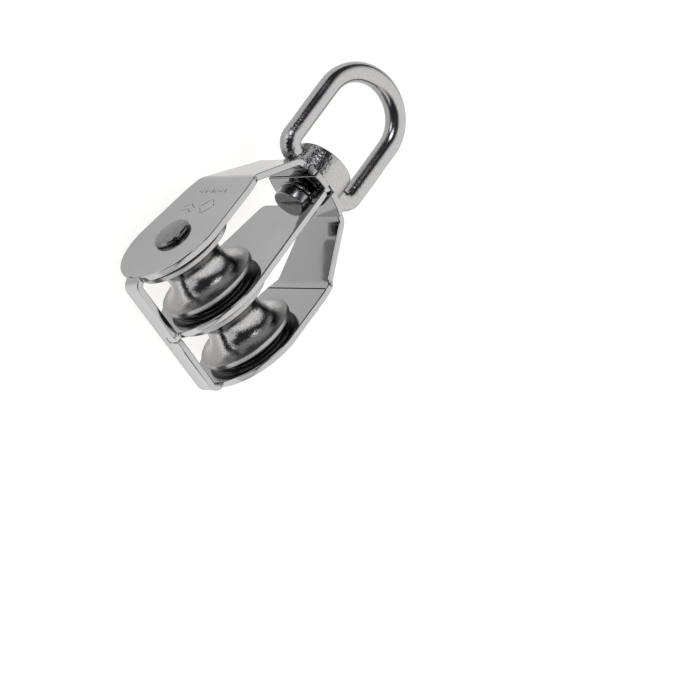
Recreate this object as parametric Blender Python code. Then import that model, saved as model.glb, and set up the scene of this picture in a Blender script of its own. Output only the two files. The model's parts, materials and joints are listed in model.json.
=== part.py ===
"""Double sheave block with a swivel eye, lying on the back edges of its cheeks.

Frame, in metres: X runs along the axle, +Y up the block to the eye, +Z out of the front.
The origin is the bottom centre of the whole object's box. Heights named "height" are
measured up the block from the axle.
"""

import math

import bmesh
import bpy
from mathutils import Matrix, Vector

MM = 0.001
GAP = 0.3 * MM
CUT_OVERSHOOT = 1.0 * MM
ACROSS = Vector((1, 0, 0))
UP_THE_BLOCK = Vector((0, 1, 0))

# Formed sheet shell
SHEET = 1.4 * MM
CHEEK_RADIUS = 12.2 * MM
CHEEK_TAPER = math.radians(9.0)
BLOCK_HALF_WIDTH = 14.4 * MM
STRAP_HEIGHT = -14.2 * MM
STRAP_HALF_WIDTH = 2.2 * MM
SHOULDER_HEIGHT = 17.3 * MM
ROOF_HEIGHT = 30.2 * MM
ROOF_HALF_LENGTH = 8.05 * MM
ROOF_SHOULDER_HALF_WIDTH = 7.7 * MM
ROOF_CORNER_HALF_WIDTH = 6.0 * MM
ROOF_CENTRE_HALF_WIDTH = 8.5 * MM
STRAP_BEND = 2.2 * MM
SHOULDER_BEND = 4.0 * MM
ROOF_BEND = 3.0 * MM
SHOULDER_ROUNDING = 4.6 * MM
SHOULDER_RUN_OUT = 1.2 * MM
SEAM_X = -4.25 * MM

# Centre plate, keyed through a notch in the strap and one in the roof. Its front edge stands
# a little proud of the cheeks.
PLATE_FRONT_RADIUS = 13.0 * MM
PLATE_FRONT_TAPER = math.radians(10.5)
PLATE_TOP_HEIGHT = 24.6 * MM
PLATE_HORN_INNER = 4.8 * MM
PLATE_CORNER = 1.5 * MM
KEY_INNER = 5.9 * MM
KEY_STEP = 0.4 * MM
FOOT_FRONT = 2.2 * MM
FOOT_BACK = -0.4 * MM
FOOT_SUNK = 0.1 * MM

# Axle and sheaves
AXLE_RADIUS = 2.5 * MM
AXLE_HEAD_RADIUS = 3.9 * MM
AXLE_HEAD = 0.95 * MM
HEAD_BEVEL = 0.3 * MM
SHEAVE_RADIUS = 10.0 * MM
SHEAVE_WIDTH = 11.2 * MM
SHEAVE_BORE = AXLE_RADIUS + GAP
GROOVE_RADIUS = 4.0 * MM
GROOVE_DEPTH = 4.0 * MM
RIM_ROUNDING = 0.2 * MM
HUB_RADIUS = 6.1 * MM
HUB_PROUD = 0.6 * MM

# Swivel. The eye and its pin sit loosely in the roof, so they lean and turn together.
STEM_RADIUS = 2.5 * MM
STEM_HEAD_RADIUS = 4.4 * MM
STEM_HEAD_BOTTOM = 25.0 * MM
STEM_HEAD = 2.25 * MM
WASHER_RADIUS = 4.2 * MM
WASHER = 0.6 * MM
WASHER_PLAY = 0.65 * MM
PEEN_RADIUS = 4.0 * MM
PEEN = 1.0 * MM
BOSS_RADIUS = 6.4 * MM
BOSS_PLAY = 0.75 * MM
BOSS_TOP = 36.9 * MM
BOSS_EDGE = 0.6 * MM
EYE_BAR = 2.15 * MM
EYE_RADIUS = 9.1 * MM
EYE_CENTRE = 49.6 * MM
EYE_BASE = 33.6 * MM
EYE_HEEL = 2.6 * MM
EYE_TURN = math.radians(-5.0)
EYE_LEAN = math.radians(6.0)

# Places that follow from the sizes above
ROOF_UNDERSIDE = ROOF_HEIGHT - SHEET
SWIVEL_HEIGHT = ROOF_HEIGHT - 0.5 * SHEET
EYE_REACH = (EYE_CENTRE - SWIVEL_HEIGHT) * math.cos(EYE_LEAN) + EYE_RADIUS + EYE_BAR
EYE_TOP = SWIVEL_HEIGHT + EYE_REACH
AXLE_Y = -0.5 * (EYE_TOP + STRAP_HEIGHT)
AXLE_Z = CHEEK_RADIUS
PITCH = BLOCK_HALF_WIDTH - 0.5 * SHEET
WASHER_TOP = ROOF_UNDERSIDE - WASHER_PLAY
STEM_HEAD_TOP = STEM_HEAD_BOTTOM + STEM_HEAD
BOSS_BOTTOM = ROOF_HEIGHT + BOSS_PLAY


def clear_scene():
    for item in list(bpy.data.objects):
        bpy.data.objects.remove(item, do_unlink=True)


def steel(name, shade, roughness):
    material = bpy.data.materials.new(name)
    material.use_nodes = True
    shader = material.node_tree.nodes["Principled BSDF"]
    shader.inputs["Base Color"].default_value = (*shade, 1.0)
    shader.inputs["Metallic"].default_value = 1.0
    shader.inputs["Roughness"].default_value = roughness
    return material


def add_object(name, bm, place=Matrix.Identity(4), material=None):
    """Make an object from bm, whose points are measured from the place given."""
    bmesh.ops.remove_doubles(bm, verts=bm.verts, dist=1e-7)
    bmesh.ops.recalc_face_normals(bm, faces=bm.faces)
    mesh = bpy.data.meshes.new(name)
    bm.to_mesh(mesh)
    bm.free()
    mesh.shade_smooth()
    mesh.set_sharp_from_angle(angle=math.radians(35))
    item = bpy.data.objects.new(name, mesh)
    item.matrix_world = place
    bpy.context.collection.objects.link(item)
    if material:
        mesh.materials.append(material)
    return item


def combine(target, other, operation):
    """Add another object to the target, or cut it away; the other is only a guide afterwards."""
    other.hide_render = True
    other.display_type = "WIRE"
    modifier = target.modifiers.new(other.name, "BOOLEAN")
    modifier.operation = operation
    modifier.object = other


def cut(target, cutter):
    combine(target, cutter, "DIFFERENCE")


def box_cutter(name, low, high, place):
    bm = bmesh.new()
    bmesh.ops.create_cube(bm, size=1.0)
    low, high = Vector(low), Vector(high)
    bmesh.ops.scale(bm, vec=high - low, verts=bm.verts)
    bmesh.ops.translate(bm, vec=0.5 * (low + high), verts=bm.verts)
    return add_object(name, bm, place)


def turned(bm, profile, axis, segments, base=0.0):
    """Turn a loop of (radius, distance along the axis) into a solid about X or Y.

    The loop is a ring's section, or it starts and ends on the axis. The distances are
    measured from a point that lies base below the origin.
    """
    side = Vector((0, 0, 1))
    other = axis.cross(side)
    rings = []
    for index in range(segments):
        angle = 2 * math.pi * index / segments
        out = math.cos(angle) * side + math.sin(angle) * other
        rings.append([
            bm.verts.new(axis * (along - base) + out * radius)
            for radius, along in profile
        ])
    count = len(profile)
    for index in range(segments):
        ring, following = rings[index], rings[(index + 1) % segments]
        for point in range(count):
            after = (point + 1) % count
            if profile[point][0] or profile[after][0]:
                bm.faces.new((ring[point], ring[after], following[after], following[point]))


def rod(bm, axis, radius, low, high, base=0.0):
    turned(bm, [(0, low), (radius, low), (radius, high), (0, high)], axis, 32, base)


def block_place():
    """The frame of the frame parts: origin on the axle, midway between the cheeks."""
    return Matrix.Translation((0, AXLE_Y, AXLE_Z))


def bend_points(before, corner, after, radius, steps):
    """Points and outward normals round one outside corner of the folded strip."""
    before, corner, after = Vector(before), Vector(corner), Vector(after)
    to_before = (before - corner).normalized()
    to_after = (after - corner).normalized()
    half_angle = 0.5 * to_before.angle(to_after)
    centre = corner + (to_before + to_after).normalized() * (radius / math.sin(half_angle))
    first = (corner + to_before * (radius / math.tan(half_angle)) - centre).normalized()
    last = (corner + to_after * (radius / math.tan(half_angle)) - centre).normalized()
    for step in range(steps + 1):
        normal = first.slerp(last, step / steps)
        yield centre + normal * radius, normal


def taper_half_width(height, radius=CHEEK_RADIUS, taper=CHEEK_TAPER):
    """Half width of a cheek or of the centre plate: round below, straight and tapered above."""
    tangent_height = radius * math.sin(taper)
    if height < tangent_height:
        return math.sqrt(max(radius**2 - height**2, 0.0))
    return radius * math.cos(taper) - (height - tangent_height) * math.tan(taper)


def strip_half_width(x, height):
    """Half width of the folded strip at a point of its outer face."""
    if height < 0:
        return max(taper_half_width(height), STRAP_HALF_WIDTH)
    if height > ROOF_HEIGHT - 1e-6:
        swell = ROOF_CENTRE_HALF_WIDTH - ROOF_CORNER_HALF_WIDTH
        return ROOF_CORNER_HALF_WIDTH + swell * math.cos(0.5 * math.pi * x / ROOF_HALF_LENGTH)
    rise = (height - SHOULDER_HEIGHT) / (ROOF_HEIGHT - SHOULDER_HEIGHT)
    roof = ROOF_SHOULDER_HALF_WIDTH + (ROOF_CORNER_HALF_WIDTH - ROOF_SHOULDER_HALF_WIDTH) * rise
    above_rounding = height - SHOULDER_HEIGHT + SHOULDER_ROUNDING
    blend = min(max(above_rounding / (SHOULDER_ROUNDING + SHOULDER_RUN_OUT), 0.0), 1.0)
    share = 1.0 - math.sqrt(1.0 - blend**2)
    return (1.0 - share) * taper_half_width(height) + share * roof


def strip_stations():
    """The strip's outer face, from the strap's right foot round the right side to the roof."""
    strap_middle = (0.0, STRAP_HEIGHT)
    foot = (BLOCK_HALF_WIDTH, STRAP_HEIGHT)
    shoulder = (BLOCK_HALF_WIDTH, SHOULDER_HEIGHT)
    roof_corner = (ROOF_HALF_LENGTH, ROOF_HEIGHT)
    roof_middle = (0.0, ROOF_HEIGHT)

    stations = list(bend_points(strap_middle, foot, shoulder, STRAP_BEND, 4))
    side = Vector((1, 0))
    neck_angle = math.asin(STRAP_HALF_WIDTH / CHEEK_RADIUS)
    end_angle = 0.5 * math.pi + CHEEK_TAPER
    steps = 14
    for step in range(steps + 1):
        angle = neck_angle + (end_angle - neck_angle) * step / steps
        stations.append((Vector((BLOCK_HALF_WIDTH, -CHEEK_RADIUS * math.cos(angle))), side))
    for fall in (1.0, 0.72, 0.5, 0.34):
        height = SHOULDER_HEIGHT - SHOULDER_ROUNDING * fall
        stations.append((Vector((BLOCK_HALF_WIDTH, height)), side))
    stations += bend_points(foot, shoulder, roof_corner, SHOULDER_BEND, 4)
    stations += bend_points(shoulder, roof_corner, roof_middle, ROOF_BEND, 5)
    for share in (0.6, 0.4, 0.2):
        stations.append((Vector((share * ROOF_HALF_LENGTH, ROOF_HEIGHT)), Vector((0, 1))))
    return stations


def slot_cutter(name, half_width, x, height, front_from):
    """A cutter for a slot through one thickness of the strip, open at the strip's front edge."""
    deep = 2 * ROOF_CENTRE_HALF_WIDTH
    low = (x - half_width, height - SHEET - CUT_OVERSHOOT, front_from)
    return box_cutter(name, low, (x + half_width, height + CUT_OVERSHOOT, deep), block_place())


def build_shell(material):
    right = strip_stations()
    left = [(Vector((-p.x, p.y)), Vector((-n.x, n.y))) for p, n in reversed(right)]
    middle = (Vector((0, ROOF_HEIGHT)), Vector((0, 1)))
    bm = bmesh.new()
    rows = []
    for point, normal in right + [middle] + left:
        width = strip_half_width(point.x, point.y)
        inner = point - normal * SHEET
        corners = ((point, width), (point, -width), (inner, -width), (inner, width))
        rows.append([bm.verts.new((p.x, p.y, z)) for p, z in corners])
    for row, following in zip(rows, rows[1:] + rows[:1]):
        for corner in range(4):
            after = (corner + 1) % 4
            bm.faces.new((row[corner], row[after], following[after], following[corner]))
    shell = add_object("shell", bm, block_place(), material)

    half_key = 0.5 * SHEET + GAP
    strap_inner = STRAP_HEIGHT + SHEET
    cut(shell, axle_hole_cutter("shell_axle_hole"))
    cut(shell, stem_hole_cutter())
    cut(shell, slot_cutter("roof_seam", 0.5 * GAP, SEAM_X, ROOF_HEIGHT, -2 * ROOF_CENTRE_HALF_WIDTH))
    cut(shell, slot_cutter("roof_notch", half_key, 0, ROOF_HEIGHT, KEY_INNER - GAP))
    cut(shell, slot_cutter("strap_notch", half_key, 0, strap_inner, FOOT_BACK - GAP))
    return shell


def axle_hole_cutter(name):
    bm = bmesh.new()
    reach = BLOCK_HALF_WIDTH + CUT_OVERSHOOT
    rod(bm, ACROSS, SHEAVE_BORE, -reach, reach)
    return add_object(name, bm, block_place())


def stem_hole_cutter():
    bm = bmesh.new()
    low, high = ROOF_UNDERSIDE - CUT_OVERSHOOT, ROOF_HEIGHT + CUT_OVERSHOOT
    rod(bm, UP_THE_BLOCK, STEM_RADIUS + GAP, low, high)
    return add_object("shell_stem_hole", bm, block_place())


def plate_outline():
    """The centre plate seen from its side, as (height, distance to the front)."""
    foot_end = STRAP_HEIGHT + FOOT_SUNK
    horn_top = ROOF_UNDERSIDE - GAP
    front_horn = taper_half_width(horn_top, PLATE_FRONT_RADIUS, PLATE_FRONT_TAPER)
    front_key = front_horn - KEY_STEP
    neck_front = -math.sqrt(PLATE_FRONT_RADIUS**2 - FOOT_FRONT**2)
    neck_back = -math.sqrt(CHEEK_RADIUS**2 - FOOT_BACK**2)
    outline = [
        (neck_back, FOOT_BACK),
        (foot_end, FOOT_BACK),
        (foot_end, FOOT_FRONT),
        (neck_front, FOOT_FRONT),
    ]
    steps = 16
    radius = PLATE_FRONT_RADIUS
    end_angle = 0.5 * math.pi + PLATE_FRONT_TAPER
    start_angle = math.asin(FOOT_FRONT / radius)
    for step in range(1, steps + 1):
        angle = start_angle + (end_angle - start_angle) * step / steps
        outline.append((-radius * math.cos(angle), radius * math.sin(angle)))
    outline += [
        (horn_top, front_horn),
        (horn_top, front_key),
        (ROOF_HEIGHT, front_key),
        (ROOF_HEIGHT, KEY_INNER),
        (horn_top, KEY_INNER),
        (horn_top, PLATE_HORN_INNER),
        (PLATE_TOP_HEIGHT, PLATE_HORN_INNER),
    ]
    corner_height = PLATE_TOP_HEIGHT - PLATE_CORNER
    corner_front = PLATE_CORNER - taper_half_width(PLATE_TOP_HEIGHT)
    for step in range(5):
        angle = 0.5 * math.pi * step / 4
        height = corner_height + PLATE_CORNER * math.cos(angle)
        outline.append((height, corner_front - PLATE_CORNER * math.sin(angle)))
    end_angle = 0.5 * math.pi + CHEEK_TAPER
    start_angle = math.asin(-FOOT_BACK / CHEEK_RADIUS)
    for step in range(steps, 0, -1):
        angle = start_angle + (end_angle - start_angle) * step / steps
        outline.append((-CHEEK_RADIUS * math.cos(angle), -CHEEK_RADIUS * math.sin(angle)))
    return outline


def build_centre_plate(material):
    bm = bmesh.new()
    outline = plate_outline()
    face = bm.faces.new([bm.verts.new((-0.5 * SHEET, height, front)) for height, front in outline])
    grown = bmesh.ops.extrude_face_region(bm, geom=[face])
    moved = [item for item in grown["geom"] if isinstance(item, bmesh.types.BMVert)]
    bmesh.ops.translate(bm, vec=(SHEET, 0, 0), verts=moved)
    plate = add_object("centre_plate", bm, block_place(), material)
    cut(plate, axle_hole_cutter("plate_axle_hole"))
    return plate


def build_axle(material):
    """One rivet through all three plates, headed at both ends."""
    head_inner = BLOCK_HALF_WIDTH + GAP
    head_outer = head_inner + AXLE_HEAD
    right = [
        (AXLE_RADIUS, head_inner),
        (AXLE_HEAD_RADIUS, head_inner),
        (AXLE_HEAD_RADIUS, head_outer - HEAD_BEVEL),
        (AXLE_HEAD_RADIUS - HEAD_BEVEL, head_outer),
        (0, head_outer),
    ]
    left = [(radius, -along) for radius, along in reversed(right)]
    bm = bmesh.new()
    turned(bm, left + right, ACROSS, 32)
    return add_object("axle_rivet", bm, block_place(), material)


def sheave_profile():
    """Half section of a sheave: bore, hub, flange, rounded rim and a semicircular rope groove."""
    half = 0.5 * SHEAVE_WIDTH
    flange = half - HUB_PROUD
    right = [
        (SHEAVE_BORE, half),
        (HUB_RADIUS, half),
        (HUB_RADIUS, flange),
        (SHEAVE_RADIUS - RIM_ROUNDING, flange),
        (SHEAVE_RADIUS, flange - RIM_ROUNDING),
    ]
    root = SHEAVE_RADIUS - GROOVE_DEPTH
    centre = root + GROOVE_RADIUS
    lip = math.acos((centre - SHEAVE_RADIUS) / GROOVE_RADIUS)
    steps = 10
    groove = []
    for step in range(steps + 1):
        angle = lip - 2 * lip * step / steps
        groove.append((centre - GROOVE_RADIUS * math.cos(angle), GROOVE_RADIUS * math.sin(angle)))
    left = [(radius, -along) for radius, along in reversed(right)]
    return right + groove + left


def build_sheave(name, x, material):
    bm = bmesh.new()
    turned(bm, sheave_profile(), ACROSS, 40)
    place = Matrix.Translation((x, AXLE_Y, AXLE_Z))
    return add_object(name, bm, place, material)


def swivel_place():
    """The frame of the swivelling parts: origin where the swivel axis meets the roof sheet."""
    pivot = Matrix.Translation((0, AXLE_Y + SWIVEL_HEIGHT, AXLE_Z))
    return pivot @ Matrix.Rotation(EYE_LEAN, 4, "Z") @ Matrix.Rotation(EYE_TURN, 4, "Y")


def eye_path():
    """The eye bar's centre line, a closed D standing on its flat side."""
    points = []
    top = Vector((0, EYE_CENTRE - SWIVEL_HEIGHT, 0))
    for step in range(15):
        angle = math.pi * step / 14
        points.append(top + EYE_RADIUS * Vector((math.cos(angle), math.sin(angle), 0)))
    for side, start in ((-1, math.pi), (1, 1.5 * math.pi)):
        centre = Vector((side * (EYE_RADIUS - EYE_HEEL), EYE_BASE + EYE_HEEL - SWIVEL_HEIGHT, 0))
        for step in range(4):
            angle = start + 0.5 * math.pi * step / 3
            points.append(centre + EYE_HEEL * Vector((math.cos(angle), math.sin(angle), 0)))
    return points


def build_eye(material):
    """A cast eye: a round bar bent into a D, grown into a bored boss."""
    sides = 14
    path = eye_path()
    bm = bmesh.new()
    rings = []
    across = Vector((0, 0, 1))
    for before, point, after in zip(path[-1:] + path[:-1], path, path[1:] + path[:1]):
        along = (after - before).normalized()
        out = along.cross(across)
        rings.append([
            bm.verts.new(point + EYE_BAR * (math.cos(a) * out + math.sin(a) * across))
            for a in (2 * math.pi * side / sides for side in range(sides))
        ])
    for ring, following in zip(rings, rings[1:] + rings[:1]):
        for side in range(sides):
            after = (side + 1) % sides
            bm.faces.new((ring[side], ring[after], following[after], following[side]))
    eye = add_object("swivel_eye", bm, swivel_place(), material)

    bm = bmesh.new()
    turned(bm, [
        (0, BOSS_BOTTOM),
        (BOSS_RADIUS - BOSS_EDGE, BOSS_BOTTOM),
        (BOSS_RADIUS, BOSS_BOTTOM + BOSS_EDGE),
        (BOSS_RADIUS, BOSS_TOP - BOSS_EDGE),
        (BOSS_RADIUS - BOSS_EDGE, BOSS_TOP),
        (0, BOSS_TOP),
    ], UP_THE_BLOCK, 36, SWIVEL_HEIGHT)
    combine(eye, add_object("eye_boss", bm, swivel_place()), "UNION")

    bm = bmesh.new()
    low, high = BOSS_BOTTOM - CUT_OVERSHOOT, BOSS_TOP + CUT_OVERSHOOT
    rod(bm, UP_THE_BLOCK, STEM_RADIUS + GAP, low, high, SWIVEL_HEIGHT)
    cut(eye, add_object("eye_bore", bm, swivel_place()))
    return eye


def build_swivel_pin(material):
    """The headed stem that hangs the shell from the eye, peened over on top of the boss."""
    peen_low = BOSS_TOP + GAP
    peen_high = peen_low + PEEN
    bm = bmesh.new()
    turned(bm, [
        (0, STEM_HEAD_BOTTOM),
        (STEM_HEAD_RADIUS - HEAD_BEVEL, STEM_HEAD_BOTTOM),
        (STEM_HEAD_RADIUS, STEM_HEAD_BOTTOM + HEAD_BEVEL),
        (STEM_HEAD_RADIUS, STEM_HEAD_TOP),
        (STEM_RADIUS, STEM_HEAD_TOP),
        (STEM_RADIUS, peen_low),
        (PEEN_RADIUS, peen_low),
        (PEEN_RADIUS - HEAD_BEVEL, peen_low + 0.5 * PEEN),
        (0.5 * PEEN_RADIUS, peen_high),
        (0, peen_high),
    ], UP_THE_BLOCK, 32, SWIVEL_HEIGHT)
    return add_object("swivel_pin", bm, swivel_place(), material)


def build_swivel_washer(material):
    bore = STEM_RADIUS + GAP
    low = WASHER_TOP - WASHER
    section = [(bore, low), (WASHER_RADIUS, low), (WASHER_RADIUS, WASHER_TOP), (bore, WASHER_TOP)]
    bm = bmesh.new()
    turned(bm, section, UP_THE_BLOCK, 32, SWIVEL_HEIGHT)
    return add_object("swivel_washer", bm, swivel_place(), material)


def main():
    clear_scene()
    build_shell(steel("shell_steel", (0.66, 0.66, 0.67), 0.22))
    build_centre_plate(steel("plate_steel", (0.62, 0.62, 0.64), 0.18))
    build_axle(steel("axle_steel", (0.45, 0.45, 0.46), 0.25))
    build_sheave("left_sheave", -0.5 * PITCH, steel("left_sheave_steel", (0.40, 0.40, 0.41), 0.32))
    build_sheave("right_sheave", 0.5 * PITCH, steel("right_sheave_steel", (0.40, 0.40, 0.41), 0.32))
    build_eye(steel("eye_steel", (0.60, 0.59, 0.58), 0.20))
    build_swivel_pin(steel("pin_steel", (0.36, 0.36, 0.37), 0.28))
    build_swivel_washer(steel("washer_steel", (0.42, 0.42, 0.43), 0.30))


main()
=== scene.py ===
"""Looks of the double sheave block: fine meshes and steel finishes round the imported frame.

Frame, in metres: X runs along the axle, +Y up the block to the eye, +Z out of the front.
The block lies on a pale floor at Z = 0. Heights are measured up the block from the axle.
"""

import json
import math

import bmesh
import bpy
from mathutils import Matrix, Quaternion, Vector, noise


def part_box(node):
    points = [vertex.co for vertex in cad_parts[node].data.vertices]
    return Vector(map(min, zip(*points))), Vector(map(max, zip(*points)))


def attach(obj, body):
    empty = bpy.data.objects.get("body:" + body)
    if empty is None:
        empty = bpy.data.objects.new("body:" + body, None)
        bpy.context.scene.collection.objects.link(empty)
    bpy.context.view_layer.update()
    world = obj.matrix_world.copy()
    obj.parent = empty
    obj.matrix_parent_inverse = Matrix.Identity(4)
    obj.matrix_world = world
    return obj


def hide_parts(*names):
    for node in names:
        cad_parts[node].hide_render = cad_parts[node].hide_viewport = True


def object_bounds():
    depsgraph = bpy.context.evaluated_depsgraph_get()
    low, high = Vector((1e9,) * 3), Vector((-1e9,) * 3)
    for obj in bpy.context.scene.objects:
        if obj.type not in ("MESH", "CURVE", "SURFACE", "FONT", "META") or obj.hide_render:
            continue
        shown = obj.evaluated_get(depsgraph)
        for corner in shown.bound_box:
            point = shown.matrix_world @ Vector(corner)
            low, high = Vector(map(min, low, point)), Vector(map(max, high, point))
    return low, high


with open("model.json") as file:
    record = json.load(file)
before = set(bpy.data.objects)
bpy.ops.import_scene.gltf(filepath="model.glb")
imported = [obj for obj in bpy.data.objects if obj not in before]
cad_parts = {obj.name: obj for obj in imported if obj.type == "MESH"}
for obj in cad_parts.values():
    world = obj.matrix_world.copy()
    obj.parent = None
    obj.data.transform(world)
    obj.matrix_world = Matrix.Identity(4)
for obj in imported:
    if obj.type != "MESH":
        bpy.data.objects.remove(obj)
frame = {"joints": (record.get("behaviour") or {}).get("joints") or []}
cad_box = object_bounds()

MM = 0.001
GAP = 0.3 * MM
CUT_OVERSHOOT = 1.0 * MM
ACROSS = Vector((1, 0, 0))
UP_THE_BLOCK = Vector((0, 1, 0))

# Places read from the frame
JOINTS = {joint["name"]: joint for joint in frame["joints"]}
LEFT_SHEAVE = Vector(JOINTS["left_sheave_spin"]["pos_m"])
RIGHT_SHEAVE = Vector(JOINTS["right_sheave_spin"]["pos_m"])
AXLE = 0.5 * (LEFT_SHEAVE + RIGHT_SHEAVE)
PIVOT = Vector(JOINTS["eye_swivel"]["pos_m"])
EYE_AXIS = Vector(JOINTS["eye_swivel"]["axis"])
SHELL_LOW, SHELL_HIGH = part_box("shell")
PLATE_LOW, PLATE_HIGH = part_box("centre_plate")
SHEAVE_LOW, SHEAVE_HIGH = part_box("left_sheave")
RIVET_LOW, RIVET_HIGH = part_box("axle_rivet")

# Folded sheet shell and centre plate
SHEET = PLATE_HIGH.x - PLATE_LOW.x
BLOCK_HALF_WIDTH = SHELL_HIGH.x
STRAP_HEIGHT = SHELL_LOW.y - AXLE.y
ROOF_HEIGHT = SHELL_HIGH.y - AXLE.y
SWIVEL_HEIGHT = PIVOT.y - AXLE.y
CHEEK_RADIUS = AXLE.z
CHEEK_TAPER = math.radians(9.0)
STRAP_HALF_WIDTH = 2.2 * MM
SHOULDER_HEIGHT = 17.3 * MM
ROOF_HALF_LENGTH = 8.05 * MM
ROOF_SHOULDER_HALF_WIDTH = 7.7 * MM
ROOF_CORNER_HALF_WIDTH = 6.0 * MM
ROOF_CENTRE_HALF_WIDTH = 8.5 * MM
STRAP_BEND = 2.2 * MM
SHOULDER_BEND = 4.0 * MM
ROOF_BEND = 3.0 * MM
SHOULDER_ROUNDING = 4.6 * MM
SHOULDER_RUN_OUT = 1.2 * MM
SEAM_X = -4.25 * MM
SHEET_EDGE = 0.24 * MM
DIAMOND_AT = (8.4 * MM, 2.4 * MM)
CHEVRONS_AT = (8.0 * MM, -3.4 * MM)
MARK_ROW_HEIGHT = 12.9 * MM
PLATE_EDGE = 0.3 * MM
PLATE_FRONT_RADIUS = 13.0 * MM
PLATE_FRONT_TAPER = math.radians(10.5)
PLATE_TOP_HEIGHT = 24.6 * MM
PLATE_HORN_INNER = 4.8 * MM
PLATE_CORNER = 1.5 * MM
KEY_INNER = 5.9 * MM
KEY_STEP = 0.4 * MM
FOOT_FRONT = 2.2 * MM
FOOT_BACK = -0.4 * MM
FOOT_SUNK = 0.1 * MM

# Axle and sheaves
AXLE_RADIUS = 2.5 * MM
AXLE_HEAD_RADIUS = 0.5 * (RIVET_HIGH.y - RIVET_LOW.y)
AXLE_HEAD_INNER = BLOCK_HALF_WIDTH + GAP
AXLE_HEAD_OUTER = RIVET_HIGH.x
SHEAVE_BORE = AXLE_RADIUS + GAP
SHEAVE_RADIUS = 0.5 * (SHEAVE_HIGH.y - SHEAVE_LOW.y)
SHEAVE_WIDTH = SHEAVE_HIGH.x - SHEAVE_LOW.x
GROOVE_RADIUS = 3.95 * MM
GROOVE_DEPTH = 3.95 * MM
HUB_PROUD = 0.6 * MM
# Turned steps of a sheave's side, as (radius, share of the hub's height that stands there)
SIDE_STEPS = ((6.1 * MM, 1.0), (7.2 * MM, 0.7), (8.2 * MM, 0.38), (8.6 * MM, 0.26))

# Swivel
STEM_RADIUS = 2.5 * MM
STEM_HEAD_RADIUS = 4.4 * MM
STEM_HEAD_BOTTOM = 25.0 * MM
STEM_HEAD_TOP = 27.25 * MM
WASHER_RADIUS = 4.2 * MM
WASHER_TOP = 28.15 * MM
WASHER = 0.6 * MM
PEEN_RADIUS = 4.0 * MM
PEEN = 1.0 * MM
BOSS_RADIUS = 6.4 * MM
BOSS_BOTTOM = 30.95 * MM
BOSS_TOP = 36.9 * MM
EYE_BAR = 2.15 * MM
EYE_RADIUS = 9.1 * MM
EYE_CENTRE = 49.6 * MM
EYE_BASE = 33.6 * MM
EYE_HEEL = 2.6 * MM
EYE_TURN = math.radians(-5.0)
EYE_VOXEL = 0.16 * MM

# Stamped marks in the left cheek
MARK_HALF_WIDTH = 0.15 * MM
MARK_DEPTH = 0.14 * MM
DIAMOND_RADIUS = 1.55 * MM
DIAMOND_HALF_SIDE = 1.3 * MM
CHEVRON_STEP = 0.7 * MM
CHEVRON_SPREAD = 0.95 * MM
CHEVRON_HALF_LENGTH = 0.85 * MM
CHEVRON_LEAN = math.radians(32)
MARK_ROW_COUNT = 9
MARK_ROW_PITCH = 1.05 * MM
MARK_ROW_START = -4.4 * MM
MARK_ROW_LONG = 0.5 * MM
MARK_ROW_SHORT = 0.25 * MM
MARK_ROW_LEAN = math.radians(20)

# Camera: angles in degrees, and its line of sight as slopes beside the block
CAMERA_AZIMUTH = -42.6
CAMERA_ELEVATION = 54.8
CAMERA_ROLL = 90.6
CAMERA_DISTANCE = 600 * MM
CAMERA_LENS = 164.2
CAMERA_ASIDE = -2.65 * MM
SIGHT_BESIDE_BLOCK = (0.0431, -0.0191, -1)

# Pale cards round the studio: direction, inner and outer angle in degrees, colour
REFLECTED_CARDS = (
    ((0.3, 0.6, 0.74), 28, 46, (0.76, 0.76, 0.77)),
    ((-0.86, 0.06, 0.50), 8, 14, (2.4, 2.4, 2.5)),
    ((-0.95, -0.33, 0.06), 6, 13, (1.6, 1.6, 1.65)),
    ((0.2, -0.95, 0.2), 18, 32, (0.74, 0.74, 0.75)),
)

BLOCK_PLACE = Matrix.Translation(AXLE)
SWIVEL_PLACE = (
    Matrix.Translation(PIVOT)
    @ UP_THE_BLOCK.rotation_difference(EYE_AXIS).to_matrix().to_4x4()
    @ Matrix.Rotation(EYE_TURN, 4, "Y")
)


# Mesh tools


def make_object(name, bm, place=Matrix.Identity(4)):
    """Make an object whose origin is the place's own, with the place's rotation in its mesh."""
    turn = place.to_3x3().to_4x4()
    bmesh.ops.transform(bm, matrix=turn, verts=bm.verts)
    bmesh.ops.remove_doubles(bm, verts=bm.verts, dist=1e-7)
    bmesh.ops.recalc_face_normals(bm, faces=bm.faces)
    mesh = bpy.data.meshes.new(name)
    bm.to_mesh(mesh)
    bm.free()
    mesh.shade_smooth()
    item = bpy.data.objects.new(name, mesh)
    item.location = place.translation
    bpy.context.scene.collection.objects.link(item)
    return item


def combine(target, other, operation):
    modifier = target.modifiers.new(other.name, "BOOLEAN")
    modifier.operation = operation
    modifier.object = other


def settle(item):
    """Swap an object's mesh for its modified one, and remove the guides it was cut with."""
    bpy.context.view_layer.update()
    graph = bpy.context.evaluated_depsgraph_get()
    mesh = bpy.data.meshes.new_from_object(item.evaluated_get(graph))
    guides = [modifier.object for modifier in item.modifiers if modifier.type == "BOOLEAN"]
    item.modifiers.clear()
    item.data = mesh
    for guide in guides:
        bpy.data.objects.remove(guide, do_unlink=True)


def merge_cheek_faces(item):
    """Join the strips of face that make up each flat cheek, inside and out."""
    bm = bmesh.new()
    bm.from_mesh(item.data)
    flat = [
        edge for edge in bm.edges
        if all(abs(face.normal.x) > 0.9999 for face in edge.link_faces)
    ]
    bmesh.ops.dissolve_limit(bm, angle_limit=math.radians(0.2), verts=[], edges=flat)
    bm.to_mesh(item.data)
    bm.free()


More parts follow.
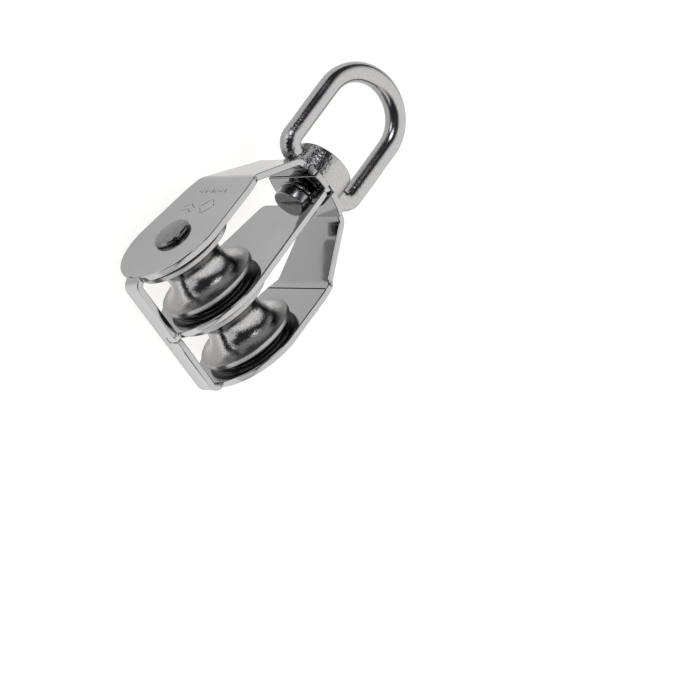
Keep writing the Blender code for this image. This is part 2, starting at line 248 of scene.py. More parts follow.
def soften_edges(item, width, cutters=(), angle=40):
    """Round off an object's sharp edges, make any late cuts and keep its flat faces flat."""
    bevel = item.modifiers.new("edges", "BEVEL")
    bevel.width = width
    bevel.segments = 3
    bevel.limit_method = "ANGLE"
    bevel.angle_limit = math.radians(angle)
    bevel.use_clamp_overlap = False
    settle(item)
    for cutter in cutters:
        combine(item, cutter, "DIFFERENCE")
    weighted = item.modifiers.new("flat_faces", "WEIGHTED_NORMAL")
    weighted.keep_sharp = True
    settle(item)


def turned(bm, profile, axis, segments, base=0.0):
    """Turn a loop of (radius, distance along the axis) into a solid about X or Y."""
    side = Vector((0, 0, 1))
    other = axis.cross(side)
    rings = []
    for index in range(segments):
        angle = 2 * math.pi * index / segments
        out = math.cos(angle) * side + math.sin(angle) * other
        rings.append([
            bm.verts.new(axis * (along - base) + out * radius)
            for radius, along in profile
        ])
    count = len(profile)
    for index in range(segments):
        ring, following = rings[index], rings[(index + 1) % segments]
        for point in range(count):
            after = (point + 1) % count
            if profile[point][0] or profile[after][0]:
                bm.faces.new((ring[point], ring[after], following[after], following[point]))


def rod(name, axis, radius, low, high, place, base=0.0):
    bm = bmesh.new()
    turned(bm, [(0, low), (radius, low), (radius, high), (0, high)], axis, 64, base)
    return make_object(name, bm, place)


def box(name, low, high, place):
    bm = bmesh.new()
    bmesh.ops.create_cube(bm, size=1.0)
    low, high = Vector(low), Vector(high)
    bmesh.ops.scale(bm, vec=high - low, verts=bm.verts)
    bmesh.ops.translate(bm, vec=0.5 * (low + high), verts=bm.verts)
    return make_object(name, bm, place)


def arc(centre, radius, start, end, steps):
    """Points (radius, along) on an arc of a turned profile; angles in degrees from outward."""
    points = []
    for step in range(steps + 1):
        angle = math.radians(start + (end - start) * step / steps)
        points.append((centre[0] + radius * math.cos(angle), centre[1] + radius * math.sin(angle)))
    return points


# Folded shell


def bend_points(before, corner, after, radius, steps):
    """Points and outward normals round one outside corner of the folded strip."""
    before, corner, after = Vector(before), Vector(corner), Vector(after)
    to_before = (before - corner).normalized()
    to_after = (after - corner).normalized()
    half_angle = 0.5 * to_before.angle(to_after)
    centre = corner + (to_before + to_after).normalized() * (radius / math.sin(half_angle))
    first = (corner + to_before * (radius / math.tan(half_angle)) - centre).normalized()
    last = (corner + to_after * (radius / math.tan(half_angle)) - centre).normalized()
    for step in range(steps + 1):
        normal = first.slerp(last, step / steps)
        yield centre + normal * radius, normal


def taper_half_width(height, radius=CHEEK_RADIUS, taper=CHEEK_TAPER):
    """Half width of a cheek or of the centre plate: round below, straight and tapered above."""
    tangent_height = radius * math.sin(taper)
    if height < tangent_height:
        return math.sqrt(max(radius**2 - height**2, 0.0))
    return radius * math.cos(taper) - (height - tangent_height) * math.tan(taper)


def strip_half_width(x, height):
    """Half width of the folded strip at a point of its outer face."""
    if height < 0:
        return max(taper_half_width(height), STRAP_HALF_WIDTH)
    if height > ROOF_HEIGHT - 1e-6:
        swell = ROOF_CENTRE_HALF_WIDTH - ROOF_CORNER_HALF_WIDTH
        return ROOF_CORNER_HALF_WIDTH + swell * math.cos(0.5 * math.pi * x / ROOF_HALF_LENGTH)
    rise = (height - SHOULDER_HEIGHT) / (ROOF_HEIGHT - SHOULDER_HEIGHT)
    roof = ROOF_SHOULDER_HALF_WIDTH + (ROOF_CORNER_HALF_WIDTH - ROOF_SHOULDER_HALF_WIDTH) * rise
    above_rounding = height - SHOULDER_HEIGHT + SHOULDER_ROUNDING
    blend = min(max(above_rounding / (SHOULDER_ROUNDING + SHOULDER_RUN_OUT), 0.0), 1.0)
    share = 1.0 - math.sqrt(1.0 - blend**2)
    return (1.0 - share) * taper_half_width(height) + share * roof


def strip_stations():
    """The strip's outer face, from the strap's right foot round the right side to the roof."""
    strap_middle = (0.0, STRAP_HEIGHT)
    foot = (BLOCK_HALF_WIDTH, STRAP_HEIGHT)
    shoulder = (BLOCK_HALF_WIDTH, SHOULDER_HEIGHT)
    roof_corner = (ROOF_HALF_LENGTH, ROOF_HEIGHT)
    roof_middle = (0.0, ROOF_HEIGHT)

    stations = list(bend_points(strap_middle, foot, shoulder, STRAP_BEND, 12))
    side = Vector((1, 0))
    neck_angle = math.asin(STRAP_HALF_WIDTH / CHEEK_RADIUS)
    end_angle = 0.5 * math.pi + CHEEK_TAPER
    steps = 40
    for step in range(steps + 1):
        angle = neck_angle + (end_angle - neck_angle) * step / steps
        stations.append((Vector((BLOCK_HALF_WIDTH, -CHEEK_RADIUS * math.cos(angle))), side))
    rounding_steps = 10
    for step in range(rounding_steps):
        fall = 1.0 - 0.72 * step / rounding_steps
        height = SHOULDER_HEIGHT - SHOULDER_ROUNDING * fall
        stations.append((Vector((BLOCK_HALF_WIDTH, height)), side))
    stations += bend_points(foot, shoulder, roof_corner, SHOULDER_BEND, 10)
    stations += bend_points(shoulder, roof_corner, roof_middle, ROOF_BEND, 12)
    roof_steps = 8
    for step in range(roof_steps - 2, 0, -1):
        x = 0.8 * ROOF_HALF_LENGTH * step / roof_steps
        stations.append((Vector((x, ROOF_HEIGHT)), Vector((0, 1))))
    return stations


def slot_cutter(name, half_width, x, height, front_from):
    deep = 2 * ROOF_CENTRE_HALF_WIDTH
    low = (x - half_width, height - SHEET - CUT_OVERSHOOT, front_from)
    return box(name, low, (x + half_width, height + CUT_OVERSHOOT, deep), BLOCK_PLACE)


def cheek_marks():
    """Cutter for plain marks stamped in the left cheek: a diamond, two chevrons and a row."""
    bars = []
    for quarter in range(4):
        turn = math.radians(45 + 90 * quarter)
        out = DIAMOND_RADIUS * Vector((math.sin(turn), math.cos(turn)))
        bars.append((Vector(DIAMOND_AT) + out, DIAMOND_HALF_SIDE, -turn))
    for step in (-CHEVRON_STEP, CHEVRON_STEP):
        for lean in (-1, 1):
            middle = Vector(CHEVRONS_AT) + Vector((step, lean * CHEVRON_SPREAD))
            bars.append((middle, CHEVRON_HALF_LENGTH, 0.5 * math.pi + lean * CHEVRON_LEAN))
    for index in range(MARK_ROW_COUNT):
        middle = Vector((MARK_ROW_HEIGHT, MARK_ROW_START + MARK_ROW_PITCH * index))
        half_length = MARK_ROW_LONG if index % 3 else MARK_ROW_SHORT
        bars.append((middle, half_length, MARK_ROW_LEAN * (index % 2)))
    bm = bmesh.new()
    for middle, half_length, turn in bars:
        cube = bmesh.ops.create_cube(bm, size=2.0)["verts"]
        bmesh.ops.scale(bm, vec=(MARK_DEPTH, half_length, MARK_HALF_WIDTH), verts=cube)
        bmesh.ops.rotate(bm, cent=(0, 0, 0), matrix=Matrix.Rotation(turn, 3, "X"), verts=cube)
        bmesh.ops.translate(bm, vec=(-BLOCK_HALF_WIDTH, middle.x, middle.y), verts=cube)
    return make_object("marks_guide", bm, BLOCK_PLACE)


def build_shell():
    right = strip_stations()
    left = [(Vector((-p.x, p.y)), Vector((-n.x, n.y))) for p, n in reversed(right)]
    middle = (Vector((0, ROOF_HEIGHT)), Vector((0, 1)))
    bm = bmesh.new()
    rows = []
    for point, normal in right + [middle] + left:
        width = strip_half_width(point.x, point.y)
        inner = point - normal * SHEET
        corners = ((point, width), (point, -width), (inner, -width), (inner, width))
        rows.append([bm.verts.new((p.x, p.y, z)) for p, z in corners])
    for row, following in zip(rows, rows[1:] + rows[:1]):
        for corner in range(4):
            after = (corner + 1) % 4
            bm.faces.new((row[corner], row[after], following[after], following[corner]))
    shell = make_object("folded_shell", bm, BLOCK_PLACE)

    half_key = 0.5 * SHEET + 0.5 * GAP
    reach = BLOCK_HALF_WIDTH + CUT_OVERSHOOT
    roof_low = ROOF_HEIGHT - SHEET - CUT_OVERSHOOT
    roof_high = ROOF_HEIGHT + CUT_OVERSHOOT
    strap_inner = STRAP_HEIGHT + SHEET
    cutters = [
        rod("axle_hole", ACROSS, AXLE_RADIUS + 0.3 * GAP, -reach, reach, BLOCK_PLACE),
        rod("stem_hole", UP_THE_BLOCK, STEM_RADIUS + GAP, roof_low, roof_high, BLOCK_PLACE),
        slot_cutter("roof_seam", 0.3 * GAP, SEAM_X, ROOF_HEIGHT, -2 * ROOF_CENTRE_HALF_WIDTH),
        slot_cutter("roof_notch", half_key, 0, ROOF_HEIGHT, KEY_INNER - 0.5 * GAP),
    ]
    for cutter in cutters:
        combine(shell, cutter, "DIFFERENCE")
    half_foot = 0.5 * SHEET + 0.2 * GAP
    strap_notch = slot_cutter("strap_notch", half_foot, 0, strap_inner, FOOT_BACK - 0.2 * GAP)
    merge_cheek_faces(shell)
    soften_edges(shell, SHEET_EDGE, (strap_notch, cheek_marks()))
    return shell


# Centre plate


def plate_outline():
    """The centre plate seen from its side, as (height, distance to the front)."""
    foot_end = STRAP_HEIGHT + FOOT_SUNK
    horn_top = ROOF_HEIGHT - SHEET - 0.3 * GAP
    front_horn = taper_half_width(horn_top, PLATE_FRONT_RADIUS, PLATE_FRONT_TAPER)
    front_key = front_horn - KEY_STEP
    neck_front = -math.sqrt(PLATE_FRONT_RADIUS**2 - FOOT_FRONT**2)
    neck_back = -math.sqrt(CHEEK_RADIUS**2 - FOOT_BACK**2)
    outline = [
        (neck_back, FOOT_BACK),
        (foot_end, FOOT_BACK),
        (foot_end, FOOT_FRONT),
        (neck_front, FOOT_FRONT),
    ]
    steps = 44
    radius = PLATE_FRONT_RADIUS
    end_angle = 0.5 * math.pi + PLATE_FRONT_TAPER
    start_angle = math.asin(FOOT_FRONT / radius)
    for step in range(1, steps + 1):
        angle = start_angle + (end_angle - start_angle) * step / steps
        outline.append((-radius * math.cos(angle), radius * math.sin(angle)))
    outline += [
        (horn_top, front_horn),
        (horn_top, front_key),
        (ROOF_HEIGHT, front_key),
        (ROOF_HEIGHT, KEY_INNER),
        (horn_top, KEY_INNER),
        (horn_top, PLATE_HORN_INNER),
        (PLATE_TOP_HEIGHT, PLATE_HORN_INNER),
    ]
    corner_height = PLATE_TOP_HEIGHT - PLATE_CORNER
    corner_front = PLATE_CORNER - taper_half_width(PLATE_TOP_HEIGHT)
    corner_steps = 10
    for step in range(corner_steps + 1):
        angle = 0.5 * math.pi * step / corner_steps
        height = corner_height + PLATE_CORNER * math.cos(angle)
        outline.append((height, corner_front - PLATE_CORNER * math.sin(angle)))
    end_angle = 0.5 * math.pi + CHEEK_TAPER
    start_angle = math.asin(-FOOT_BACK / CHEEK_RADIUS)
    for step in range(steps, 0, -1):
        angle = start_angle + (end_angle - start_angle) * step / steps
        outline.append((-CHEEK_RADIUS * math.cos(angle), -CHEEK_RADIUS * math.sin(angle)))
    return outline


def build_centre_plate():
    bm = bmesh.new()
    outline = plate_outline()
    face = bm.faces.new([bm.verts.new((-0.5 * SHEET, height, front)) for height, front in outline])
    grown = bmesh.ops.extrude_face_region(bm, geom=[face])
    moved = [item for item in grown["geom"] if isinstance(item, bmesh.types.BMVert)]
    bmesh.ops.translate(bm, vec=(SHEET, 0, 0), verts=moved)
    plate = make_object("divider_plate", bm, BLOCK_PLACE)
    hole = rod("plate_hole", ACROSS, AXLE_RADIUS + 0.3 * GAP, -SHEET, SHEET, BLOCK_PLACE)
    combine(plate, hole, "DIFFERENCE")
    soften_edges(plate, PLATE_EDGE)
    return plate


# Axle and sheaves


def build_rivet():
    """One pin with a low, slightly domed head at each end."""
    rounding = 0.72 * MM
    face_radius = AXLE_HEAD_RADIUS - rounding
    dome_fall = 0.16 * MM
    rim = AXLE_HEAD_OUTER - dome_fall - rounding
    foot = 0.12 * MM
    inner = AXLE_HEAD_INNER - 0.8 * GAP
    right = [(AXLE_RADIUS, inner), (AXLE_HEAD_RADIUS - foot, inner)]
    right += arc((face_radius, rim), rounding, 0, 78, 8)
    dome_steps = 10
    for step in range(1, dome_steps + 1):
        share = 1 - step / dome_steps
        right.append((face_radius * share, AXLE_HEAD_OUTER - dome_fall * share**2))
    left = [(radius, -along) for radius, along in reversed(right)]
    bm = bmesh.new()
    turned(bm, left + right, ACROSS, 96)
    return make_object("axle_pin", bm, BLOCK_PLACE)


def sheave_profile():
    """Half section: bore, proud hub, flange side, rounded land and a round rope groove."""
    half = 0.5 * SHEAVE_WIDTH
    flange = half - HUB_PROUD
    edge = 0.06 * MM
    land_rounding = 0.22 * MM
    lip_rounding = 0.16 * MM
    centre = SHEAVE_RADIUS - GROOVE_DEPTH + GROOVE_RADIUS
    lip_angle = math.acos((centre - SHEAVE_RADIUS + lip_rounding) / GROOVE_RADIUS)
    lip_along = GROOVE_RADIUS * math.sin(lip_angle) + lip_rounding
    right = [(SHEAVE_BORE, half - edge), (SHEAVE_BORE + edge, half)]
    for (radius, share), (_, lower) in zip(SIDE_STEPS, SIDE_STEPS[1:] + ((0, 0),)):
        right += arc((radius - edge, flange + HUB_PROUD * share - edge), edge, 90, 0, 3)
        right.append((radius, flange + HUB_PROUD * lower))
    right += arc((SHEAVE_RADIUS - land_rounding, flange - land_rounding), land_rounding, 90, 0, 8)
    right += arc((SHEAVE_RADIUS - lip_rounding, lip_along), lip_rounding, 0, -70, 6)
    steps = 64
    groove = []
    for step in range(steps + 1):
        angle = lip_angle - 2 * lip_angle * step / steps
        groove.append((centre - GROOVE_RADIUS * math.cos(angle), GROOVE_RADIUS * math.sin(angle)))
    left = [(radius, -along) for radius, along in reversed(right)]
    return right + groove + left


def build_sheave(name, centre, seed):
    """A turned wheel whose groove keeps the uneven, slightly torn surface of its machining."""
    bm = bmesh.new()
    turned(bm, sheave_profile(), ACROSS, 300)
    groove_low = SHEAVE_RADIUS - GROOVE_DEPTH - 0.1 * MM
    groove_half = 0.78 * GROOVE_RADIUS
    tear = 0.020 * MM
    for vert in bm.verts:
        radius = math.hypot(vert.co.y, vert.co.z)
        if radius < groove_low or abs(vert.co.x) > groove_half:
            continue
        fade = 1 - (vert.co.x / groove_half) ** 4
        place = vert.co / (0.34 * MM) + Vector((seed, 0, 0))
        shift = tear * fade * noise.noise(place)
        ring = 0.008 * MM * fade * math.sin(2 * math.pi * vert.co.x / (0.42 * MM))
        vert.co.yz *= (radius + shift + ring) / radius
    return make_object(name, bm, Matrix.Translation(centre))


# Swivel eye, pin and washer


def eye_path():
    """The eye bar's centre line, a closed D standing on its flat side."""
    points = []
    top = Vector((0, EYE_CENTRE - SWIVEL_HEIGHT, 0))
    for step in range(49):
        angle = math.pi * step / 48
        points.append(top + EYE_RADIUS * Vector((math.cos(angle), math.sin(angle), 0)))
    for side, start in ((-1, math.pi), (1, 1.5 * math.pi)):
        centre = Vector((side * (EYE_RADIUS - EYE_HEEL), EYE_BASE + EYE_HEEL - SWIVEL_HEIGHT, 0))
        for step in range(13):
            angle = start + 0.5 * math.pi * step / 12
            points.append(centre + EYE_HEEL * Vector((math.cos(angle), math.sin(angle), 0)))
    return points


def eye_bar():
    sides = 48
    path = eye_path()
    bm = bmesh.new()
    rings = []
    across = Vector((0, 0, 1))
    for before, point, after in zip(path[-1:] + path[:-1], path, path[1:] + path[:1]):
        out = (after - before).normalized().cross(across)
        rings.append([
            bm.verts.new(point + EYE_BAR * (math.cos(a) * out + math.sin(a) * across))
            for a in (2 * math.pi * side / sides for side in range(sides))
        ])
    for ring, following in zip(rings, rings[1:] + rings[:1]):
        for side in range(sides):
            after = (side + 1) % sides
            bm.faces.new((ring[side], ring[after], following[after], following[side]))
    return make_object("cast_eye", bm, SWIVEL_PLACE)


def eye_boss():
    edge = 0.55 * MM
    profile = [(0, BOSS_BOTTOM)]
    profile += arc((BOSS_RADIUS - edge, BOSS_BOTTOM + edge), edge, -90, 0, 8)
    profile += arc((BOSS_RADIUS - edge, BOSS_TOP - edge), edge, 0, 90, 8)
    profile.append((0, BOSS_TOP))
    bm = bmesh.new()
    turned(bm, profile, UP_THE_BLOCK, 96, SWIVEL_HEIGHT)
    return make_object("boss_guide", bm, SWIVEL_PLACE)


def build_eye():
    """Bar and boss fused into one casting: remeshed, filleted by smoothing, then grained."""
    eye = eye_bar()
    low, high = BOSS_BOTTOM - CUT_OVERSHOOT, BOSS_TOP + CUT_OVERSHOOT
    combine(eye, eye_boss(), "UNION")
    bore = rod("bore_guide", UP_THE_BLOCK, STEM_RADIUS + GAP, low, high, SWIVEL_PLACE, SWIVEL_HEIGHT)
    combine(eye, bore, "DIFFERENCE")
    settle(eye)
    remesh = eye.modifiers.new("casting", "REMESH")
    remesh.mode = "VOXEL"
    remesh.voxel_size = EYE_VOXEL
    settle(eye)

    bm = bmesh.new()
    bm.from_mesh(eye.data)
    joint_top = BOSS_TOP - SWIVEL_HEIGHT + 2.0 * MM
    near_joint = [vert for vert in bm.verts if vert.co.dot(EYE_AXIS) < joint_top]
    for _ in range(10):
        bmesh.ops.smooth_vert(bm, verts=near_joint, factor=0.5,
                              use_axis_x=True, use_axis_y=True, use_axis_z=True)
    for _ in range(3):
        bmesh.ops.smooth_vert(bm, verts=bm.verts, factor=0.5,
                              use_axis_x=True, use_axis_y=True, use_axis_z=True)
    bm.normal_update()
    grain = 0.035 * MM
    dent = 0.05 * MM
    for vert in bm.verts:
        height = vert.co.dot(EYE_AXIS)
        rough = min(max((joint_top + 3 * MM - height) / (6 * MM), 0.0), 1.0)
        fine = noise.noise(vert.co / (0.45 * MM))
        broad = noise.noise(vert.co / (4.5 * MM))
        vert.co += vert.normal * (grain * rough * fine + dent * broad)
    bm.to_mesh(eye.data)
    bm.free()
    eye.data.shade_smooth()
    return eye


def build_stem():
    """The headed stem, its end peened over on top of the boss."""
    edge = 0.3 * MM
    peen_low = BOSS_TOP + 0.3 * GAP
    profile = [(0, STEM_HEAD_BOTTOM), (STEM_HEAD_RADIUS - 2 * edge, STEM_HEAD_BOTTOM)]
    profile += arc((STEM_HEAD_RADIUS - edge - 0.1 * MM, STEM_HEAD_BOTTOM + edge), edge, -80, -10, 6)
    profile += arc((STEM_HEAD_RADIUS - edge, STEM_HEAD_TOP - edge), edge, 0, 90, 6)
    profile += [(STEM_RADIUS, STEM_HEAD_TOP), (STEM_RADIUS, peen_low)]
    profile.append((PEEN_RADIUS - edge, peen_low))
    dome_steps = 10
    for step in range(1, dome_steps + 1):
        angle = 0.5 * math.pi * step / dome_steps
        profile.append((PEEN_RADIUS * math.cos(angle), peen_low + PEEN * math.sin(angle)))
    bm = bmesh.new()
    turned(bm, profile, UP_THE_BLOCK, 96, SWIVEL_HEIGHT)
    return make_object("stem", bm, SWIVEL_PLACE)


def build_washer():
    edge = 0.15 * MM
    bore = STEM_RADIUS + GAP
    low = WASHER_TOP - WASHER
    profile = [(bore, low), (bore, WASHER_TOP)]
    profile += arc((WASHER_RADIUS - edge, WASHER_TOP - edge), edge, 90, 0, 4)
    profile += arc((WASHER_RADIUS - edge, low + edge), edge, 0, -90, 4)
    bm = bmesh.new()
    turned(bm, profile, UP_THE_BLOCK, 96, SWIVEL_HEIGHT)
    return make_object("thrust_washer", bm, SWIVEL_PLACE)


# Finishes


def link(tree, source, target):
    tree.links.new(source, target)


def ramp_value(tree, source, low, high, out_low, out_high):
    """Map a 0 to 1 value smoothly from one range to another."""
    node = tree.nodes.new("ShaderNodeMapRange")
    node.interpolation_type = "SMOOTHSTEP"
    node.inputs["From Min"].default_value = low
    node.inputs["From Max"].default_value = high
    node.inputs["To Min"].default_value = out_low
    node.inputs["To Max"].default_value = out_high
    link(tree, source, node.inputs["Value"])
    return node.outputs["Result"]


def noise_value(tree, coordinates, size, stretch=(1, 1, 1), detail=3.0):
    """Noise with features of about the given size in metres."""
    scale = tree.nodes.new("ShaderNodeMapping")
    scale.inputs["Scale"].default_value = [s / size for s in stretch]
    link(tree, coordinates, scale.inputs["Vector"])
    texture = tree.nodes.new("ShaderNodeTexNoise")
    texture.inputs["Scale"].default_value = 1.0
    texture.inputs["Detail"].default_value = detail
    link(tree, scale.outputs["Vector"], texture.inputs["Vector"])
    return texture.outputs["Fac"]


def bumped(tree, height, distance, strength, normal=None):
    bump = tree.nodes.new("ShaderNodeBump")
    bump.inputs["Distance"].default_value = distance
    bump.inputs["Strength"].default_value = strength
    link(tree, height, bump.inputs["Height"])
    if normal:
        link(tree, normal, bump.inputs["Normal"])
    return bump.outputs["Normal"]


def tone(tree, factor, dark, light):
    ramp = tree.nodes.new("ShaderNodeValToRGB")
    ramp.color_ramp.elements[0].color = (*dark, 1.0)
    ramp.color_ramp.elements[1].color = (*light, 1.0)
    link(tree, factor, ramp.inputs["Fac"])
    return ramp.outputs["Color"]


def steel(name):
    material = bpy.data.materials.new(name)
    material.use_nodes = True
    tree = material.node_tree
    shader = tree.nodes["Principled BSDF"]
    shader.inputs["Metallic"].default_value = 1.0
    coordinates = tree.nodes.new("ShaderNodeTexCoord").outputs["Object"]
    return material, tree, shader, coordinates


def polished_sheet(name, dark, light, gloss, rough):
    """Rolled and tumbled stainless sheet: soft waves, faint rolling lines and small nicks."""
    material, tree, shader, coordinates = steel(name)
    clouds = noise_value(tree, coordinates, 9 * MM, detail=4)
    lines = noise_value(tree, coordinates, 0.5 * MM, stretch=(1, 0.06, 1), detail=2)
    nicks = noise_value(tree, coordinates, 0.55 * MM, detail=1)
    link(tree, tone(tree, clouds, dark, light), shader.inputs["Base Color"])
    link(tree, ramp_value(tree, clouds, 0.3, 0.7, gloss, rough), shader.inputs["Roughness"])
    normal = bumped(tree, noise_value(tree, coordinates, 5 * MM, detail=1), 0.06 * MM, 0.35)
    normal = bumped(tree, lines, 0.004 * MM, 0.35, normal)
    pits = ramp_value(tree, nicks, 0.78, 0.86, 1, 0)
    normal = bumped(tree, pits, 0.02 * MM, 0.5, normal)
    link(tree, normal, shader.inputs["Normal"])
    return material


def turned_steel(name):
    """Machined sheave: a torn, sparkling groove between satin flanges."""
    material, tree, shader, coordinates = steel(name)
    split = tree.nodes.new("ShaderNodeSeparateXYZ")
    link(tree, coordinates, split.inputs["Vector"])
    aside = tree.nodes.new("ShaderNodeMath")
    aside.operation = "ABSOLUTE"
    link(tree, split.outputs["X"], aside.inputs[0])
    flange_share = ramp_value(tree, aside.outputs["Value"], 0.9 * GROOVE_RADIUS, GROOVE_RADIUS, 0, 1)
    mottle = noise_value(tree, coordinates, 0.30 * MM, detail=5)
    broad = noise_value(tree, coordinates, 2.2 * MM, detail=2)
    colour = tone(tree, mottle, (0.18, 0.18, 0.182), (0.45, 0.447, 0.445))
    link(tree, colour, shader.inputs["Base Color"])
    link(tree, ramp_value(tree, flange_share, 0, 1, 0.11, 0.34), shader.inputs["Roughness"])
    rings = noise_value(tree, coordinates, 0.16 * MM, stretch=(1, 0.02, 0.02), detail=2)
    torn = tree.nodes.new("ShaderNodeMath")
    torn.operation = "MULTIPLY"
    link(tree, mottle, torn.inputs[0])
    link(tree, ramp_value(tree, flange_share, 0, 1, 1.0, 0.25), torn.inputs[1])
    normal = bumped(tree, broad, 0.10 * MM, 0.5)
    normal = bumped(tree, rings, 0.01 * MM, 0.5, normal)
    normal = bumped(tree, torn.outputs["Value"], 0.05 * MM, 0.8, normal)
    link(tree, normal, shader.inputs["Normal"])
    return material


def cast_steel(name):
    """Cast and tumbled eye: bright on the bar, grainy round the boss."""
    material, tree, shader, coordinates = steel(name)
    split = tree.nodes.new("ShaderNodeSeparateXYZ")
    link(tree, coordinates, split.inputs["Vector"])
    boss_share = ramp_value(tree, split.outputs["Y"], 5 * MM, 11 * MM, 1, 0)
    grain = noise_value(tree, coordinates, 0.35 * MM, detail=4)
    clouds = noise_value(tree, coordinates, 3.5 * MM, detail=3)
    colour = tone(tree, grain, (0.25, 0.25, 0.252), (0.38, 0.377, 0.375))
    link(tree, colour, shader.inputs["Base Color"])
    link(tree, ramp_value(tree, clouds, 0.3, 0.7, 0.13, 0.22), shader.inputs["Roughness"])
    weighted = tree.nodes.new("ShaderNodeMath")
    weighted.operation = "MULTIPLY"
    link(tree, grain, weighted.inputs[0])
    link(tree, boss_share, weighted.inputs[1])
    normal = bumped(tree, clouds, 0.08 * MM, 0.4)
    normal = bumped(tree, weighted.outputs["Value"], 0.06 * MM, 0.8, normal)
    normal = bumped(tree, grain, 0.006 * MM, 0.5, normal)
    link(tree, normal, shader.inputs["Normal"])
    return material


def headed_steel(name, dark, light):
    """Cold-headed rivet steel, satin with small tool marks."""
    material, tree, shader, coordinates = steel(name)
    marks = noise_value(tree, coordinates, 0.9 * MM, detail=4)
    fine = noise_value(tree, coordinates, 0.2 * MM, detail=2)
    link(tree, tone(tree, marks, dark, light), shader.inputs["Base Color"])
    link(tree, ramp_value(tree, marks, 0.3, 0.7, 0.16, 0.30), shader.inputs["Roughness"])
    normal = bumped(tree, marks, 0.04 * MM, 0.4)
    normal = bumped(tree, fine, 0.006 * MM, 0.5, normal)
    link(tree, normal, shader.inputs["Normal"])
    return material


def fit(item, material, body, slot, *nodes):
    """Finish a piece: its material, the body it moves with, its slot (which is not used) and the
    nodes it stands for.
    """
    item.data.materials.clear()
    item.data.materials.append(material)
    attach(item, body)
    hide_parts(*nodes)


# Studio


def floor_material():
    """A light table that glows evenly, with a painted pool of light in front of the strap where it
    glows brighter for the strap to reflect.
    """
    material = bpy.data.materials.new("pale_floor")
    material.use_nodes = True
    tree = material.node_tree
    shader = tree.nodes["Principled BSDF"]
    shader.inputs["Base Color"].default_value = (0.30, 0.30, 0.30, 1)
    shader.inputs["Roughness"].default_value = 0.8
    shader.inputs["Specular IOR Level"].default_value = 0.1
    shader.inputs["Emission Color"].default_value = (1.0, 0.99, 0.97, 1)
    split = tree.nodes.new("ShaderNodeSeparateXYZ")
    link(tree, tree.nodes.new("ShaderNodeTexCoord").outputs["Object"], split.inputs["Vector"])
    near = SHELL_LOW.y
    # Painted pool of light: the floor's emission rises beyond the strap's end, so the strap reflects
    # it lighter
    glow_and_painted_pool = ramp_value(tree, split.outputs["Y"], near - 8 * MM, near, 1.45, 0.86)
    link(tree, glow_and_painted_pool, shader.inputs["Emission Strength"])
    return material


def build_floor():
    bm = bmesh.new()
    bmesh.ops.create_grid(bm, x_segments=1, y_segments=1, size=3.0)
    floor = make_object("floor", bm, Matrix.Translation((0, 0, cad_box[0].z - 0.05 * MM)))
    floor.data.materials.append(floor_material())


def area_light(name, direction, distance, size, power):
    """A soft panel that lights the block and is not seen in it."""
    light = bpy.data.lights.new(name, "AREA")
    light.shape = "RECTANGLE"
    light.size, light.size_y = size
    light.energy = power
    item = bpy.data.objects.new(name, light)
    away = Vector(direction).normalized()
    item.location = away * distance
    item.rotation_euler = away.to_track_quat("Z", "Y").to_euler()
    item.visible_camera = False
    item.visible_glossy = False
    bpy.context.scene.collection.objects.link(item)


def direction_share(tree, coordinates, direction, inner, outer):
    """1 within the inner angle of a direction, falling smoothly to 0 at the outer angle."""
    dot = tree.nodes.new("ShaderNodeVectorMath")
    dot.operation = "DOT_PRODUCT"
    dot.inputs[1].default_value = Vector(direction).normalized()
    link(tree, coordinates, dot.inputs[0])
    low = math.cos(math.radians(outer))
    high = math.cos(math.radians(inner))
    return ramp_value(tree, dot.outputs["Value"], low, high, 0, 1)


def lightened(tree, shade, share, colour):
    """The shade, or the colour where that is lighter, by the given share."""
    mix = tree.nodes.new("ShaderNodeMixRGB")
    mix.blend_type = "LIGHTEN"
    link(tree, share, mix.inputs["Fac"])
    link(tree, shade, mix.inputs["Color1"])
    mix.inputs["Color2"].default_value = (*colour, 1)
    return mix.outputs["Color"]


def build_world():
    """A studio round the light table: bright on the right, dark elsewhere save for pale cards.

    The camera sees a plain pale backdrop in its place.
    """
    world = bpy.data.worlds.new("studio")
    world.use_nodes = True
    tree = world.node_tree
    coordinates = tree.nodes.new("ShaderNodeTexCoord").outputs["Generated"]
    right = direction_share(tree, coordinates, (0.75, 0.2, 0.63), 50, 68)
    shade = tone(tree, right, (0.03, 0.03, 0.035), (1.0, 0.985, 0.96))
    for direction, inner, outer, colour in REFLECTED_CARDS:
        share = direction_share(tree, coordinates, direction, inner, outer)
        shade = lightened(tree, shade, share, colour)
    reflected = tree.nodes["Background"]
    reflected.inputs["Strength"].default_value = 1.7
    link(tree, shade, reflected.inputs["Color"])
    backdrop = tree.nodes.new("ShaderNodeBackground")
    backdrop.inputs["Color"].default_value = (0.95, 0.95, 0.95, 1)
    seen = tree.nodes.new("ShaderNodeLightPath").outputs["Is Camera Ray"]
    mix = tree.nodes.new("ShaderNodeMixShader")
    link(tree, seen, mix.inputs["Fac"])
    link(tree, reflected.outputs["Background"], mix.inputs[1])
    link(tree, backdrop.outputs["Background"], mix.inputs[2])
    link(tree, mix.outputs["Shader"], tree.nodes["World Output"].inputs["Surface"])
    bpy.context.scene.world = world


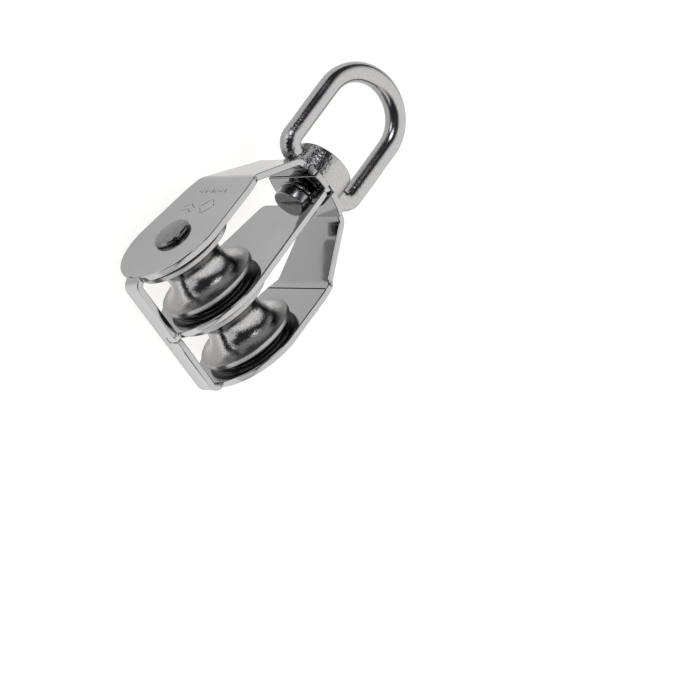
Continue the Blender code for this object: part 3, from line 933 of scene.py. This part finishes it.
def build_camera():
    """A long lens over the left cheek, aimed beside the block so that it sits up and to the left."""
    azimuth = math.radians(CAMERA_AZIMUTH)
    elevation = math.radians(CAMERA_ELEVATION)
    roll = math.radians(CAMERA_ROLL)
    away = Vector((
        math.sin(azimuth) * math.cos(elevation),
        -math.cos(azimuth) * math.cos(elevation),
        math.sin(elevation),
    ))
    camera = bpy.data.objects.new("camera", bpy.data.cameras.new("camera"))
    camera.data.lens = CAMERA_LENS
    camera.data.clip_start = 10 * MM
    camera.data.clip_end = 10.0
    camera.rotation_mode = "QUATERNION"
    level = (-away).to_track_quat("-Z", "Y")
    beside_block = Vector((0, 0, -1)).rotation_difference(Vector(SIGHT_BESIDE_BLOCK))
    camera.rotation_quaternion = level @ Quaternion((0, 0, 1), roll) @ beside_block
    camera.location = AXLE + Vector((CAMERA_ASIDE, 0, 0)) + away * CAMERA_DISTANCE
    bpy.context.scene.collection.objects.link(camera)
    bpy.context.scene.camera = camera


def main():
    shell_steel = polished_sheet(
        "shell_steel", (0.285, 0.285, 0.293), (0.34, 0.34, 0.347), 0.07, 0.14
    )
    plate_steel = polished_sheet(
        "plate_steel", (0.305, 0.305, 0.313), (0.36, 0.36, 0.367), 0.03, 0.07
    )
    # The axle rivet's steel is given a much darker base colour than the pin and washer: painted
    # shade standing in for the dark reflections on its heads
    rivet_steel_painted_dark = headed_steel("rivet_steel_painted_dark", (0.09, 0.09, 0.094), (0.22, 0.22, 0.225))
    pin_steel = headed_steel("pin_steel", (0.26, 0.26, 0.27), (0.38, 0.38, 0.38))
    washer_steel = headed_steel("washer_steel", (0.34, 0.34, 0.34), (0.46, 0.46, 0.46))

    fit(build_shell(), shell_steel, "frame", "shell", "shell")
    fit(build_centre_plate(), plate_steel, "frame", "centre_plate", "centre_plate")
    fit(build_rivet(), rivet_steel_painted_dark, "frame", "axle_rivet", "axle_rivet")
    for side, centre, seed in (("left", LEFT_SHEAVE, 3.1), ("right", RIGHT_SHEAVE, 17.7)):
        node = side + "_sheave"
        wheel = build_sheave(side + "_wheel", centre, seed)
        fit(wheel, turned_steel(side + "_wheel_steel"), node, "sheaves", node)
    fit(build_eye(), cast_steel("eye_steel"), "eye", "swivel_eye", "swivel_eye")
    fit(build_stem(), pin_steel, "eye", "swivel_pin", "swivel_pin")
    fit(build_washer(), washer_steel, "washer", "swivel_washer", "swivel_washer")

    build_floor()
    area_light("top_softbox", (-0.1, 0.55, 0.85), 700 * MM, (160 * MM, 120 * MM), 0.35)
    build_world()
    build_camera()
    bpy.context.scene.view_settings.view_transform = "Standard"


main()
